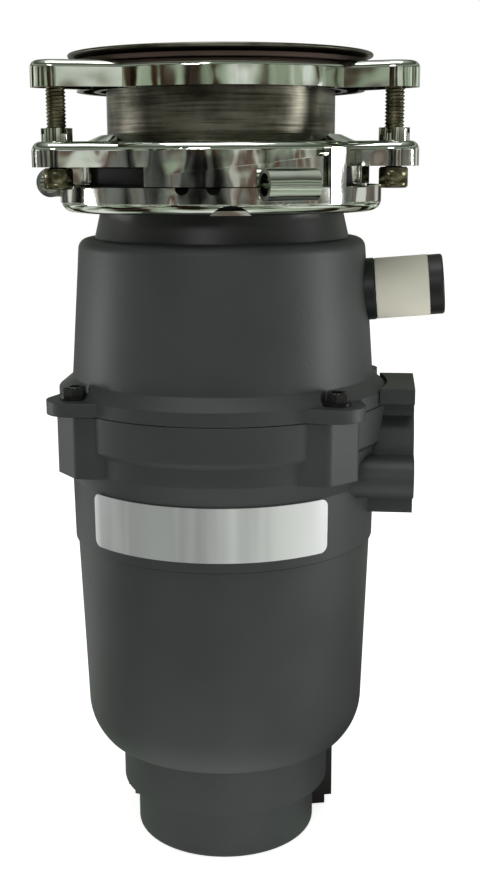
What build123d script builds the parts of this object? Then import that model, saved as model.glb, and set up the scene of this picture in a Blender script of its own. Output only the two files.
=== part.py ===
from build123d import *
from math import cos, radians, sin, tan
import os

# Food waste disposer with its three-screw sink mount, in millimetres.
# The base stands on z = 0, the shaft is the Z axis, the nameplate faces -Y
# and the discharge outlet points along +X. An azimuth is an angle in degrees
# counted from the front (-Y) towards the outlet (+X).

# Fits
seat_gap = 0.3
turning_gap = 0.05
press_gap = 0.02
free_gap = 0.5

# Base cap
foot_radius = 36.7
foot_height = 21.7
step_radius = 42.4
step_height = 22.4
cap_wall = 2.5
foot_round = 1.6
vent_count = 6
vent_width = 2.6
vent_length = 8.0
vent_circle_radius = 24.0
post_circle_radius = 29.3
post_radius = 4.2
post_count = 3
post_angle = 30.0
spigot_height = 3.3
spigot_wall = 2.2
cap_screw_grip = 10.0
cap_screw_length = 16.0
cap_screw_radius = 1.6
cap_screw_head = 2.9
cap_screw_head_height = 2.4

# Motor casing
casing_base_radius = 51.2
casing_round_width = 5.0
casing_round_height = 14.0
casing_top_radius = 58.6
casing_height = 82.6
casing_wall = 2.5
casing_floor = 3.0
can_clearance = 1.4
casing_step = 2.0
casing_spigot = 4.0

# Drain housing
drain_radius = 59.5
drain_height = 54.3
drain_wall = 3.4
drain_floor = 7.8
drain_draft = 0.4
band_radius = 62.2
band_height = 9.0
band_slope = 7.6
flange_radius = 64.2
flange_depth = 13.2
flange_land = 5.0
flange_reach = 9.8
hub_foot = 8.0
hub_shoulder = 4.0

# Flange ears
ear_circle_radius = 64.5
ear_radius = 10.5
ear_azimuth = 48.5
ear_turn = -2.5
ear_depth = 23.1
ear_root_circle_radius = 50.0
ear_root_radius = 13.0
ear_root_spread = 8.0
lug_corner_radius = 3.0
lug_corner_circle_radius = 66.1
lug_corner_spread = 5.2

# Discharge outlet
outlet_reach = 75.0
outlet_bore_radius = 17.0
outlet_axis_drop = 21.0
outlet_wall = 2.6
outlet_lug_width = 38.0
outlet_lug_height = 5.8
outlet_lug_rise = 6.8
outlet_neck_width = 22.0
outlet_boss_radius = 7.9
outlet_boss_spread = 24.0
outlet_boss_drop = 5.0
outlet_toe_width = 30.0
outlet_toe_drop = 21.2
outlet_screw_radius = 2.25
outlet_screw_depth = 9.5

# Seals
seal_ring_radius = 55.75
seal_ring_width = 2.9
seal_ring_depth = 2.1
lip_seal_width = 6.0
lip_seal_height = 7.0
lip_seal_wall = 1.5
lip_seal_web = 2.0

# Hopper
hopper_base_radius = 58.8
hopper_top_radius = 54.9
hopper_height = 62.0
hopper_wall = 2.6
hopper_round = 4.0
flange_edge = 5.1
flange_slope = 4.4
neck_top_radius = 46.4
neck_base_radius = 48.8
neck_height = 16.8
neck_rib_height = 10.0
chamber_radius = 43.8
liner_wall = 2.8
liner_flange = 3.0
neck_wall = 4.0
lip_reach = 3.6
lip_height = 3.0

# Dishwasher inlet
inlet_radius = 11.4
inlet_root_radius = 11.8
inlet_root_end = 59.3
inlet_bore_radius = 8.8
inlet_reach = 85.3
inlet_height = 42.0
inlet_tilt = 4.5
inlet_round = 1.0
inlet_collar = 2.2
inlet_collar_width = 2.0
inlet_collar_gap = 2.4
label_start = 59.7
label_length = 20.0
label_thickness = 0.2
plug_thickness = 2.5

# Cushion mount and splash guard
cushion_skin = 1.5
cushion_wall = 3.0
cushion_shoulder = 1.2
collar_wall = 6.5
collar_height = 7.0
cushion_ledge = 2.0
ledge_reach = 2.1
guard_hole_radius = 13.0
guard_thickness = 1.6
guard_rim_height = 3.0
guard_rim_width = 2.0
guard_flex = 6.0
guard_dish = 3.0
guard_slits = 8
slit_width = 1.2
slit_length = 20.0

# Sink flange
sleeve_radius = 43.0
sleeve_wall = 1.2
sleeve_height = 39.7
sink_flange_radius = 57.0
sink_flange_rise = 6.6
sink_flange_rim = 1.3
sink_shoulder_reach = 3.0
sink_shoulder_rise = 5.9
snap_wire_radius = 1.0
snap_wire_arc = 345.0
snap_groove = 0.5
snap_height = 8.9

# Mounting ring, with azimuths counted from the middle of a ramp
mount_turn = 7.0
screw_circle_radius = 68.9
screw_azimuth = 63.5
mount_ear_radius = 9.0
mount_ear_height = 8.8
mount_arm_radius = 8.0
mount_arm_lead = 3.0
mount_arm_trail = 13.0
mount_plate = 4.2
mount_plate_radius = 56.8
mount_round = 3.2
mount_bore = 43.6
mount_hub_wall = 3.4
mount_hub_drop = 1.5
mount_lip = 2.6
mount_cone_reach = 8.0
mount_cone_top = 2.0
skirt_wall = 2.9
skirt_start = -28.0
ramp_start = -17.0
ramp_end = 44.0
ramp_middle = 8.0
ramp_slope = 6.25
ramp_reach = 2.2
ramp_drop = 8.4
screw_boss_height = 4.5
screw_boss_wall = 1.9
boss_notch_width = 2.2
boss_notch_depth = 2.0

# Backup ring and gasket
backup_radius = 54.0
backup_bore = 45.2
backup_ear_radius = 8.6
backup_height = 9.0
backup_plate = 2.5
backup_wall = 2.4
backup_round = 2.6
backup_rise = 18.3
gasket_outer = 55.0
gasket_inner = 47.0
gasket_thickness = 1.4

# Lock ring
lock_radius = 60.8
lock_sheet = 1.6
lock_seat = 1.0
lock_slack = 0.4
lock_height = 9.4
lock_round = 4.0
lug_radius = 5.5
lug_bore = 3.9
lug_length = 18.7
lug_azimuth = 20.8
lug_rise = 10.5
web_height = 4.2
hook_azimuth = 42.0
hook_span = 7.0
hook_sheet = 1.8
hook_foot = 6.0
hook_height = 21.0
arch_azimuth = 3.0
arch_radius = 9.1
arch_rise = 3.6
notch_radius = 2.4
notch_azimuths = (-12.8, -2.6)

# Mounting screws
screw_radius = 3.6
screw_head_radius = 5.2
screw_head_height = 7.4
slot_width = 1.5
slot_depth = 2.2

# Grinding parts
plate_rise = 6.0
plate_radius = 40.0
plate_thickness = 2.0
plate_rim = 4.0
plate_hub_radius = 9.0
plate_hub_height = 16.0
plate_hole_radius = 2.4
plate_hole_count = 8
hub_seal_space = 3.0
ring_gap = 0.7
ring_height = 23.0
ring_step = 1.0
ring_tooth_wall = 2.8
ring_seat_depth = 1.2
tooth_count = 24
tooth_width = 5.0
tooth_height = 11.0
impeller_circle_radius = 24.0
impeller_long = 13.0
impeller_hub_radius = 7.0
impeller_tip_radius = 3.5
impeller_thickness = 5.0
impeller_lug_height = 10.0
pin_radius = 3.0
pin_head_radius = 4.8
pin_head_height = 1.6
pin_azimuths = (0, 180)
nut_flats = 13.0
nut_height = 6.5

# Motor
shaft_radius = 5.0
shaft_thread_radius = 4.0
shaft_clearance = 1.0
shaft_tip = 1.5
shaft_chamfer = 0.8
can_wall = 2.5
air_gap = 1.0
bell_thickness = 4.0
bell_step = 1.5
bell_hub_wall = 3.0
bell_hub_depth = 3.5
bell_hub_floor = 2.0
magnet_thickness = 7.6
magnet_span = 130.0
magnet_height = 52.0
core_height = 30.0
core_spread = 5.4
core_slots = 12
core_slot_width = 3.0
core_slot_depth = 17.0
winding_height = 8.0
winding_gap = 1.0
winding_reach = 2.0
commutator_radius = 13.0
commutator_height = 14.0
commutator_rise = 3.0
bearing_radius = 11.0
bearing_height = 7.0
top_bearing_radius = 13.0
top_bearing_height = 8.0
brush_azimuths = (90, 270)
brush_width = 7.0
brush_height = 9.0
brush_length = 12.0
holder_wall = 1.4
holder_length = 19.0
holder_gap = 1.5
holder_foot_length = 10.0
spring_radius = 2.8
spring_bore = 1.6

# Reset button, overload protector and rectifier
button_radius = 4.7
button_flange = 1.4
button_flange_height = 1.3
button_recess = 0.6
button_stem_radius = 2.0
button_stem_reach = 3.5
button_travel = 2.5
button_offset = 15.0
protector_width = 20.4
protector_depth = 11.0
protector_height = 12.0
protector_rise = 6.7
rib_width = 2.0
protector_rib_offset = 7.6
rectifier_offset = -14.5
rectifier_width = 22.0
rectifier_depth = 18.0
rectifier_height = 8.0
rectifier_rise = 2.5
rectifier_rib_offset = 6.0
tab_thickness = 0.8
tab_width = 5.0
tab_height = 8.0

# Terminal cover and cord bushing
cover_radius = 46.0
cover_skirt = 3.0
cover_half_angle = 75.0
cover_bottom = 0.8
cover_step = 4.6
cover_top = 27.0
cover_screw_azimuths = (140, 220)
cover_screw_head_height = 1.8
cord_bore = 3.6
bushing_radius = 6.0
bushing_flange = 1.6
bushing_flange_width = 1.5
bushing_reach = 5.0

# Flange screws and nameplate
flange_screw_radius = 2.3
flange_screw_head = 4.2
flange_screw_head_height = 4.6
flange_screw_length = 18.0
flange_washer = 5.4
flange_washer_height = 0.9
nameplate_half_angle = 46.0
nameplate_height = 20.4
nameplate_thickness = 0.6
nameplate_drop = 50.4
nameplate_corner = 3.0

# Motor radii, counted in from the casing
can_radius = casing_base_radius - can_clearance
can_inner = can_radius - can_wall
magnet_outer = can_inner - seat_gap
magnet_inner = magnet_outer - magnet_thickness
core_radius = magnet_inner - air_gap
winding_radius = core_radius - core_spread

# Neck radii
throat_radius = neck_top_radius - neck_wall
lip_radius = neck_top_radius + lip_reach
cushion_radius = lip_radius + cushion_wall
collar_radius = sleeve_radius + collar_wall

# Heights, counted up from the base
cap_height = foot_height + step_height
casing_z = cap_height + seat_gap
casing_top = casing_z + casing_height
drain_z = casing_top + seat_gap
drain_top = drain_z + drain_height
hopper_z = drain_top + seat_gap
hopper_top = hopper_z + hopper_height
neck_top = hopper_top + neck_height
cushion_z = neck_top - lip_height - seat_gap - cushion_skin
lock_z = cushion_z - seat_gap - lock_sheet
ledge_top = neck_top + seat_gap + cushion_ledge
sleeve_z = ledge_top + seat_gap
sleeve_top = sleeve_z + sleeve_height
snap_z = sleeve_z + snap_height
mount_hub_z = snap_z + snap_wire_radius + seat_gap
mount_top = mount_hub_z + mount_plate + mount_hub_drop
mount_ear_z = mount_top - mount_ear_height
backup_z = mount_top + backup_rise
backup_top = backup_z + backup_height
floor_z = drain_z + drain_floor
outlet_z = drain_top - outlet_axis_drop
plate_z = hopper_z + plate_rise
bell_z = casing_z + casing_floor + seat_gap
can_z = bell_z + bell_thickness + seat_gap
top_bell_z = drain_z - seat_gap - bell_thickness
can_height = top_bell_z - seat_gap - can_z

# Directions shared by several pieces
screw_azimuths = [mount_turn + screw_azimuth + turn for turn in (0, 120, 240)]
ear_azimuths = [ear_turn + turn for turn in (ear_azimuth, 180 - ear_azimuth, 180 + ear_azimuth, -ear_azimuth)]

os.makedirs("parts", exist_ok=True)


def azimuth_point(radius, azimuth):
    """X and Y of a point at a radius and an azimuth."""
    angle = radians(azimuth)
    return (radius * sin(angle), -radius * cos(angle))


def section_plane(azimuth):
    """Upright plane through the shaft axis: local X runs outwards, local Y runs up."""
    x, y = azimuth_point(1, azimuth)
    return Plane(origin=(0, 0, 0), x_dir=(x, y, 0), z_dir=(y, -x, 0))


def outward_plane(azimuth, radius, height):
    """Upright plane that faces outwards at an azimuth, with local Y up."""
    x, y = azimuth_point(1, azimuth)
    return Plane(origin=(radius * x, radius * y, height), x_dir=(-y, x, 0), z_dir=(x, y, 0))


def turned(corners):
    """Turn a closed outline of radius and height corners right round the shaft axis."""
    with BuildPart() as whole:
        with BuildSketch(section_plane(0)):
            with BuildLine():
                Polyline(*corners, close=True)
            make_face()
        revolve(axis=Axis.Z)
    return whole.part


def ring(inner, outer, bottom, top):
    """Plain round ring about the shaft axis."""
    return turned([(inner, bottom), (outer, bottom), (outer, top), (inner, top)])


def sector(start, span, corners):
    """Turn a closed outline of radius and height corners through a span of azimuth."""
    with BuildPart() as swept:
        with BuildSketch(section_plane(start)):
            with BuildLine():
                Polyline(*corners, close=True)
            make_face()
        revolve(axis=Axis.Z, revolution_arc=span)
    return swept.part


def ear_sketch(azimuth, circles):
    """Convex outline round circles, each given by circle radius, azimuth offset and own radius."""
    with BuildSketch() as ear:
        for circle_radius, offset_angle, radius in circles:
            with Locations(azimuth_point(circle_radius, azimuth + offset_angle)):
                Circle(radius)
        make_hull()
    return ear.sketch


def save(piece, name):
    """Label a finished piece and write it."""
    piece.label = name
    export_step(piece, f"parts/{name}.step")


# Bottom cap: a two-step moulded cup with vents, screw posts and a locating spigot
step_inner = step_radius - cap_wall
foot_inner = foot_radius - cap_wall
with BuildPart() as bottom_cap:
    add(turned([
        (0, 0),
        (foot_radius, 0),
        (foot_radius, foot_height),
        (step_radius, foot_height),
        (step_radius, cap_height),
        (step_inner, cap_height),
        (step_inner, cap_height + spigot_height),
        (step_inner - spigot_wall, cap_height + spigot_height),
        (step_inner - spigot_wall, foot_height + cap_wall),
        (foot_inner, foot_height + cap_wall),
        (foot_inner, cap_wall),
        (0, cap_wall),
    ]))
    fillet(bottom_cap.edges().filter_by(GeomType.CIRCLE).group_by(Axis.Z)[0], foot_round)
    with BuildSketch(Plane.XY.offset(cap_wall)):
        with PolarLocations(post_circle_radius, post_count, start_angle=post_angle):
            Circle(post_radius)
    extrude(amount=bell_z - seat_gap - cap_wall)
    with BuildSketch():
        with PolarLocations(post_circle_radius, post_count, start_angle=post_angle):
            Circle(cap_screw_head + seat_gap)
    extrude(amount=cap_height - cap_screw_grip, mode=Mode.SUBTRACT)
    with BuildSketch():
        with PolarLocations(post_circle_radius, post_count, start_angle=post_angle):
            Circle(cap_screw_radius + press_gap)
    extrude(amount=bell_z, mode=Mode.SUBTRACT)
    with BuildSketch():
        with PolarLocations(vent_circle_radius, vent_count):
            SlotOverall(vent_length, vent_width)
        with Locations((0, button_offset)):
            Circle(button_radius + seat_gap)
    extrude(amount=cap_wall, mode=Mode.SUBTRACT)
    with BuildSketch(Plane.XY.offset(cap_wall)):
        with Locations((-protector_rib_offset, button_offset), (protector_rib_offset, button_offset)):
            Rectangle(rib_width, protector_depth)
    extrude(amount=protector_rise)
    with BuildSketch(Plane.XY.offset(cap_wall)):
        with Locations((-rectifier_rib_offset, rectifier_offset), (rectifier_rib_offset, rectifier_offset)):
            Rectangle(rib_width, rectifier_depth)
    extrude(amount=rectifier_rise)
save(bottom_cap.part, "bottom_cap")

# Cap screws: three long screws pushed up through the posts into the lower end bell
with BuildPart() as cap_screws:
    with PolarLocations(post_circle_radius, post_count, start_angle=post_angle):
        with Locations((0, 0, cap_height - cap_screw_grip - seat_gap)):
            Cylinder(cap_screw_head, cap_screw_head_height,
                     align=(Align.CENTER, Align.CENTER, Align.MAX))
            Cylinder(cap_screw_radius, cap_screw_length,
                     align=(Align.CENTER, Align.CENTER, Align.MIN))
save(cap_screws.part, "cap_screws")

# Reset button: a stepped plunger behind the hole in the base
protector_z = cap_wall + protector_rise + seat_gap
button_shoulder = cap_wall + seat_gap
with BuildPart() as reset_button:
    with Locations((0, button_offset, button_recess)):
        Cylinder(button_radius, button_shoulder - button_recess,
                 align=(Align.CENTER, Align.CENTER, Align.MIN))
    with Locations((0, button_offset, button_shoulder)):
        Cylinder(button_radius + button_flange, button_flange_height,
                 align=(Align.CENTER, Align.CENTER, Align.MIN))
        Cylinder(button_stem_radius, protector_z + button_stem_reach - button_shoulder,
                 align=(Align.CENTER, Align.CENTER, Align.MIN))
save(reset_button.part, "reset_button")

# Overload protector: a small block that straddles two ribs above the button
stem_pocket = button_stem_reach + button_travel + free_gap
with BuildPart() as overload_protector:
    with BuildSketch(Plane.XY.offset(protector_z)):
        with Locations((0, button_offset)):
            Rectangle(protector_width, protector_depth)
            Circle(button_stem_radius + seat_gap, mode=Mode.SUBTRACT)
    extrude(amount=stem_pocket)
    with BuildSketch(Plane.XY.offset(protector_z + stem_pocket)):
        with Locations((0, button_offset)):
            Rectangle(protector_width, protector_depth)
    extrude(amount=protector_height - stem_pocket)
    with BuildSketch(Plane.XY.offset(protector_z + protector_height)):
        with Locations((-protector_width / 4, button_offset), (protector_width / 4, button_offset)):
            Rectangle(tab_thickness, tab_width)
    extrude(amount=tab_height)
save(overload_protector.part, "overload_protector")

# Rectifier: a square bridge block with four tabs
rectifier_z = cap_wall + rectifier_rise + seat_gap
with BuildPart() as rectifier:
    with Locations((0, rectifier_offset, rectifier_z)):
        Box(rectifier_width, rectifier_depth, rectifier_height,
            align=(Align.CENTER, Align.CENTER, Align.MIN))
    with Locations((0, rectifier_offset, rectifier_z + rectifier_height)):
        with GridLocations(rectifier_width * 2 / 3, rectifier_depth * 3 / 5, 2, 2):
            Box(tab_thickness, tab_width, tab_height, align=(Align.CENTER, Align.CENTER, Align.MIN))
save(rectifier.part, "rectifier")

# Terminal cover: a black wrap-round cover at the back of the base, with a lower skirt
cover_inner = foot_radius + seat_gap
cover_middle = (cover_step + foot_height) / 2
with BuildPart() as terminal_cover:
    add(sector(180 - cover_half_angle, 2 * cover_half_angle, [
        (cover_inner, cover_bottom),
        (cover_radius - cover_skirt, cover_bottom),
        (cover_radius - cover_skirt, cover_step),
        (cover_radius, cover_step),
        (cover_radius, cover_top),
        (step_radius + seat_gap, cover_top),
        (step_radius + seat_gap, foot_height - seat_gap),
        (cover_inner, foot_height - seat_gap),
    ]))
    with BuildSketch(outward_plane(180, cover_inner / 2, cover_middle)):
        Circle(bushing_radius + turning_gap)
    extrude(amount=cover_radius, mode=Mode.SUBTRACT)
    for azimuth in cover_screw_azimuths:
        with BuildSketch(outward_plane(azimuth, cover_inner / 2, cover_middle)):
            Circle(cap_screw_radius + turning_gap)
        extrude(amount=cover_radius, mode=Mode.SUBTRACT)
save(terminal_cover.part, "terminal_cover")

# Cover screws: two pan-headed screws driven inwards
with BuildPart() as cover_screws:
    for azimuth in cover_screw_azimuths:
        with BuildSketch(outward_plane(azimuth, cover_radius + seat_gap, cover_middle)):
            Circle(cap_screw_head)
        extrude(amount=cover_screw_head_height)
        with BuildSketch(outward_plane(azimuth, cover_radius + seat_gap, cover_middle)):
            Circle(cap_screw_radius)
        extrude(amount=cover_inner - cover_radius - seat_gap)
save(cover_screws.part, "cover_screws")

# Cord bushing: the flanged inlet that the supply cord passes through
with BuildPart() as cord_bushing:
    with BuildSketch(outward_plane(180, cover_inner, cover_middle)):
        Circle(bushing_radius)
    extrude(amount=cover_radius - cover_inner + bushing_reach)
    with BuildSketch(outward_plane(180, cover_radius + seat_gap, cover_middle)):
        Circle(bushing_radius + bushing_flange)
    extrude(amount=bushing_flange_width)
    with BuildSketch(outward_plane(180, cover_inner, cover_middle)):
        Circle(cord_bore)
    extrude(amount=cover_radius, mode=Mode.SUBTRACT)
save(cord_bushing.part, "cord_bushing")

# Motor casing: a drafted shell with a rounded bottom edge and a spigot at its top
casing_lower_radius = casing_base_radius + casing_round_width
casing_hole = step_inner + seat_gap
round_z = casing_z + casing_round_height
spigot_radius = casing_top_radius - casing_step
with BuildPart() as motor_casing:
    with BuildSketch(section_plane(0)):
        with BuildLine():
            Line((casing_hole, casing_z), (casing_base_radius, casing_z))
            TangentArc((casing_lower_radius, round_z), (casing_base_radius, casing_z), tangent=(0, -1))
            Polyline(
                (casing_lower_radius, round_z),
                (casing_top_radius, casing_top),
                (spigot_radius, casing_top),
                (spigot_radius, casing_top + casing_spigot),
                (spigot_radius - casing_wall, casing_top + casing_spigot),
                (casing_lower_radius - casing_wall, round_z),
            )
            TangentArc(
                (casing_lower_radius - casing_wall, round_z),
                (casing_base_radius - casing_wall / 2, casing_z + casing_floor),
                tangent=(0, -1),
            )
            Polyline(
                (casing_base_radius - casing_wall / 2, casing_z + casing_floor),
                (casing_hole, casing_z + casing_floor),
                (casing_hole, casing_z),
            )
        make_face()
    revolve(axis=Axis.Z)
save(motor_casing.part, "motor_casing")

# End bells: plates with a bearing hub that close the motor can
bell_radius = can_radius - bell_step
bell_top = bell_z + bell_thickness
lower_pocket_z = bell_z - bell_hub_depth
with BuildPart() as lower_end_bell:
    add(turned([
        (shaft_radius + shaft_clearance, lower_pocket_z - bell_hub_floor),
        (bearing_radius + bell_hub_wall, lower_pocket_z - bell_hub_floor),
        (bearing_radius + bell_hub_wall, bell_z),
        (bell_radius, bell_z),
        (bell_radius, bell_top),
        (bearing_radius + turning_gap, bell_top),
        (bearing_radius + turning_gap, lower_pocket_z),
        (shaft_radius + shaft_clearance, lower_pocket_z),
    ]))
    with BuildSketch(Plane.XY.offset(bell_z)):
        with PolarLocations(post_circle_radius, post_count, start_angle=post_angle):
            Circle(cap_screw_radius + turning_gap)
    extrude(amount=bell_thickness, mode=Mode.SUBTRACT)
save(lower_end_bell.part, "lower_end_bell")

upper_pocket_z = drain_z - seat_gap - top_bearing_height - seat_gap
with BuildPart() as upper_end_bell:
    add(turned([
        (shaft_radius + shaft_clearance, upper_pocket_z - bell_hub_floor),
        (top_bearing_radius + bell_hub_wall, upper_pocket_z - bell_hub_floor),
        (top_bearing_radius + bell_hub_wall, top_bell_z),
        (can_radius, top_bell_z),
        (can_radius, top_bell_z + bell_thickness),
        (top_bearing_radius + turning_gap, top_bell_z + bell_thickness),
        (top_bearing_radius + turning_gap, upper_pocket_z),
        (shaft_radius + shaft_clearance, upper_pocket_z),
    ]))
save(upper_end_bell.part, "upper_end_bell")

# Bearings: rings that the shaft turns in
lower_bearing_z = lower_pocket_z + seat_gap
save(ring(shaft_radius + turning_gap, bearing_radius, lower_bearing_z,
          lower_bearing_z + bearing_height), "lower_bearing")
save(ring(shaft_radius + turning_gap, top_bearing_radius, upper_pocket_z + seat_gap,
          upper_pocket_z + seat_gap + top_bearing_height), "upper_bearing")

# Motor can and its two arc magnets
save(ring(can_inner, can_radius - seat_gap, can_z, can_z + can_height), "motor_can")
commutator_z = can_z + commutator_rise
core_z = commutator_z + commutator_height + winding_gap + winding_height
magnet_z = core_z + core_height / 2 - magnet_height / 2
with BuildPart() as stator_magnets:
    for start in (-magnet_span / 2, 180 - magnet_span / 2):
        add(sector(start, magnet_span, [
            (magnet_inner, magnet_z),
            (magnet_outer, magnet_z),
            (magnet_outer, magnet_z + magnet_height),
            (magnet_inner, magnet_z + magnet_height),
        ]))
save(stator_magnets.part, "stator_magnets")

# Armature: slotted core, end turns and commutator on the shaft
with BuildPart() as armature_core:
    with BuildSketch(Plane.XY.offset(core_z)):
        Circle(core_radius)
        Circle(shaft_radius + press_gap, mode=Mode.SUBTRACT)
        with PolarLocations(core_radius, core_slots):
            Rectangle(2 * core_slot_depth, core_slot_width, mode=Mode.SUBTRACT)
    extrude(amount=core_height)
save(armature_core.part, "armature_core")

winding_inner = commutator_radius + winding_reach
with BuildPart() as armature_windings:
    add(ring(winding_inner, winding_radius, core_z - winding_height, core_z))
    add(ring(winding_inner, winding_radius, core_z + core_height,
             core_z + core_height + winding_height))
    outer_edges = armature_windings.edges().filter_by(
        lambda edge: edge.geom_type == GeomType.CIRCLE and edge.radius > (winding_inner + winding_radius) / 2)
    fillet(outer_edges.group_by(Axis.Z)[0] + outer_edges.group_by(Axis.Z)[-1], winding_height / 3)
save(armature_windings.part, "armature_windings")

save(ring(shaft_radius + press_gap, commutator_radius, commutator_z,
          commutator_z + commutator_height), "commutator")

# Brush gear: two holders on the lower end bell, with their brushes and springs
holder_z = commutator_z + commutator_height / 2
holder_start = commutator_radius + holder_gap
foot_z = bell_top + seat_gap
with BuildPart() as brush_holders:
    for azimuth in brush_azimuths:
        with BuildSketch(outward_plane(azimuth, holder_start, holder_z)):
            Rectangle(brush_width + 2 * holder_wall, brush_height + 2 * holder_wall)
        extrude(amount=holder_length)
        with BuildSketch(outward_plane(azimuth, holder_start, holder_z)):
            Rectangle(brush_width + 2 * turning_gap, brush_height + 2 * turning_gap)
        extrude(amount=holder_length - holder_wall, mode=Mode.SUBTRACT)
        with BuildSketch(Plane.XY.offset(foot_z)):
            with Locations(azimuth_point(holder_start + holder_length / 2, azimuth)):
                Rectangle(holder_foot_length, brush_width)
        extrude(amount=holder_z - brush_height / 2 - holder_wall - foot_z)
save(brush_holders.part, "brush_holders")

with BuildPart() as brushes:
    for azimuth in brush_azimuths:
        with BuildSketch(outward_plane(azimuth, commutator_radius + seat_gap, holder_z)):
            Rectangle(brush_width, brush_height)
        extrude(amount=brush_length)
save(brushes.part, "brushes")

spring_start = commutator_radius + seat_gap + brush_length + turning_gap
spring_end = holder_start + holder_length - holder_wall - turning_gap
with BuildPart() as brush_springs:
    for azimuth in brush_azimuths:
        with BuildSketch(outward_plane(azimuth, spring_start, holder_z)):
            Circle(spring_radius)
            Circle(spring_bore, mode=Mode.SUBTRACT)
        extrude(amount=spring_end - spring_start)
save(brush_springs.part, "brush_springs")

# Rotor shaft: stepped, with a threaded end for the turntable nut
shaft_z = lower_bearing_z - seat_gap
shaft_top = plate_z + plate_thickness + nut_height + shaft_tip
with BuildPart() as rotor_shaft:
    add(turned([
        (0, shaft_z),
        (shaft_radius, shaft_z),
        (shaft_radius, plate_z),
        (shaft_thread_radius, plate_z),
        (shaft_thread_radius, shaft_top),
        (0, shaft_top),
    ]))
    chamfer(rotor_shaft.edges().filter_by(GeomType.CIRCLE).group_by(Axis.Z)[-1], shaft_chamfer)
save(rotor_shaft.part, "rotor_shaft")

# Drain housing: drafted lower shell with the drain chamber, a stepped band under the flange,
# four screw lugs, the seal hub, and the discharge outlet between two screw bosses
wall_top_radius = drain_radius + drain_draft
band_bottom = drain_top - flange_depth - band_height
lip_seal_radius = shaft_radius + lip_seal_width
hub_top = plate_z - plate_hub_height - hub_seal_space
flange_inner = chamber_radius + flange_reach
outlet_top = drain_top + outlet_lug_rise
outlet_plane = Plane(origin=(0, 0, outlet_z), x_dir=(0, 1, 0), z_dir=(1, 0, 0))
outlet_lug_top = outlet_top - outlet_z
with BuildPart() as drain_housing:
    add(turned([
        (0, drain_z),
        (drain_radius, drain_z),
        (wall_top_radius, band_bottom - band_slope),
        (band_radius, band_bottom),
        (band_radius, drain_top - flange_depth - flange_radius + band_radius),
        (flange_radius, drain_top - flange_depth),
        (flange_radius, drain_top),
        (0, drain_top),
    ]))
    for azimuth in ear_azimuths:
        with BuildSketch(Plane.XY.offset(drain_top)):
            add(ear_sketch(azimuth, [
                (lug_corner_circle_radius, -lug_corner_spread, lug_corner_radius),
                (lug_corner_circle_radius, lug_corner_spread, lug_corner_radius),
                (ear_root_circle_radius, -ear_root_spread, ear_root_radius),
                (ear_root_circle_radius, ear_root_spread, ear_root_radius),
            ]))
        extrude(amount=-ear_depth)
    with BuildSketch(outlet_plane):
        Circle(outlet_bore_radius + outlet_wall)
        with Locations((0, outlet_lug_top)):
            Rectangle(outlet_lug_width, outlet_lug_height, align=(Align.CENTER, Align.MAX))
            Rectangle(outlet_neck_width, outlet_lug_top, align=(Align.CENTER, Align.MAX))
        with Locations((0, -outlet_toe_drop)):
            Rectangle(outlet_toe_width, outlet_toe_drop, align=(Align.CENTER, Align.MIN))
        with Locations((0, -outlet_boss_drop)):
            SlotCenterToCenter(2 * outlet_boss_spread, 2 * outlet_boss_radius)
    extrude(amount=outlet_reach)
    with BuildSketch(Plane.XY.offset(drain_top)):
        Circle(flange_radius + seat_gap)
    extrude(amount=outlet_top - drain_top, mode=Mode.SUBTRACT)
    add(turned([
        (0, floor_z),
        (drain_radius - drain_wall, floor_z),
        (wall_top_radius - drain_wall, band_bottom - band_slope),
        (band_radius - drain_wall, band_bottom),
        (band_radius - drain_wall, drain_top - flange_depth),
        (flange_inner, drain_top - flange_land),
        (flange_inner, drain_top),
        (0, drain_top),
    ]), mode=Mode.SUBTRACT)
    add(ring(spigot_radius - casing_wall - seat_gap, spigot_radius + seat_gap,
             drain_z, casing_top + casing_spigot + seat_gap), mode=Mode.SUBTRACT)
    add(turned([
        (0, floor_z),
        (lip_seal_radius + hub_foot, floor_z),
        (lip_seal_radius + hub_shoulder, hub_top),
        (0, hub_top),
    ]))
    add(ring(0, lip_seal_radius + turning_gap, hub_top - lip_seal_height - seat_gap, hub_top),
        mode=Mode.SUBTRACT)
    with BuildSketch(Plane.XY.offset(drain_z)):
        Circle(shaft_radius + free_gap)
    extrude(amount=drain_height, mode=Mode.SUBTRACT)
    with BuildSketch(outlet_plane.offset(lip_seal_radius + hub_foot)):
        Circle(outlet_bore_radius)
    extrude(amount=outlet_reach, mode=Mode.SUBTRACT)
    with BuildSketch(outlet_plane.offset(outlet_reach)):
        with Locations((-outlet_boss_spread, -outlet_boss_drop), (outlet_boss_spread, -outlet_boss_drop)):
            Circle(outlet_screw_radius)
    extrude(amount=-outlet_screw_depth, mode=Mode.SUBTRACT)
    with BuildSketch(Plane.XY.offset(drain_top)):
        with Locations(*[azimuth_point(ear_circle_radius, azimuth) for azimuth in ear_azimuths]):
            Circle(flange_screw_radius + turning_gap)
    extrude(amount=-flange_screw_length, mode=Mode.SUBTRACT)
    add(ring(seal_ring_radius - seal_ring_width / 2, seal_ring_radius + seal_ring_width / 2,
             drain_top - seal_ring_depth, drain_top), mode=Mode.SUBTRACT)
save(drain_housing.part, "drain_housing")

# Nameplate: a thin curved plate with rounded corners on the front of the drain housing
nameplate_z = drain_top - nameplate_drop
nameplate_lower = drain_radius + seat_gap
nameplate_upper = wall_top_radius + turning_gap
with BuildPart() as nameplate:
    add(sector(-nameplate_half_angle, 2 * nameplate_half_angle, [
        (nameplate_lower, nameplate_z),
        (nameplate_lower + nameplate_thickness, nameplate_z),
        (nameplate_upper + nameplate_thickness, nameplate_z + nameplate_height),
        (nameplate_upper, nameplate_z + nameplate_height),
    ]))
    fillet(nameplate.edges().group_by(SortBy.LENGTH)[0], nameplate_corner)
save(nameplate.part, "nameplate")

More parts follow.
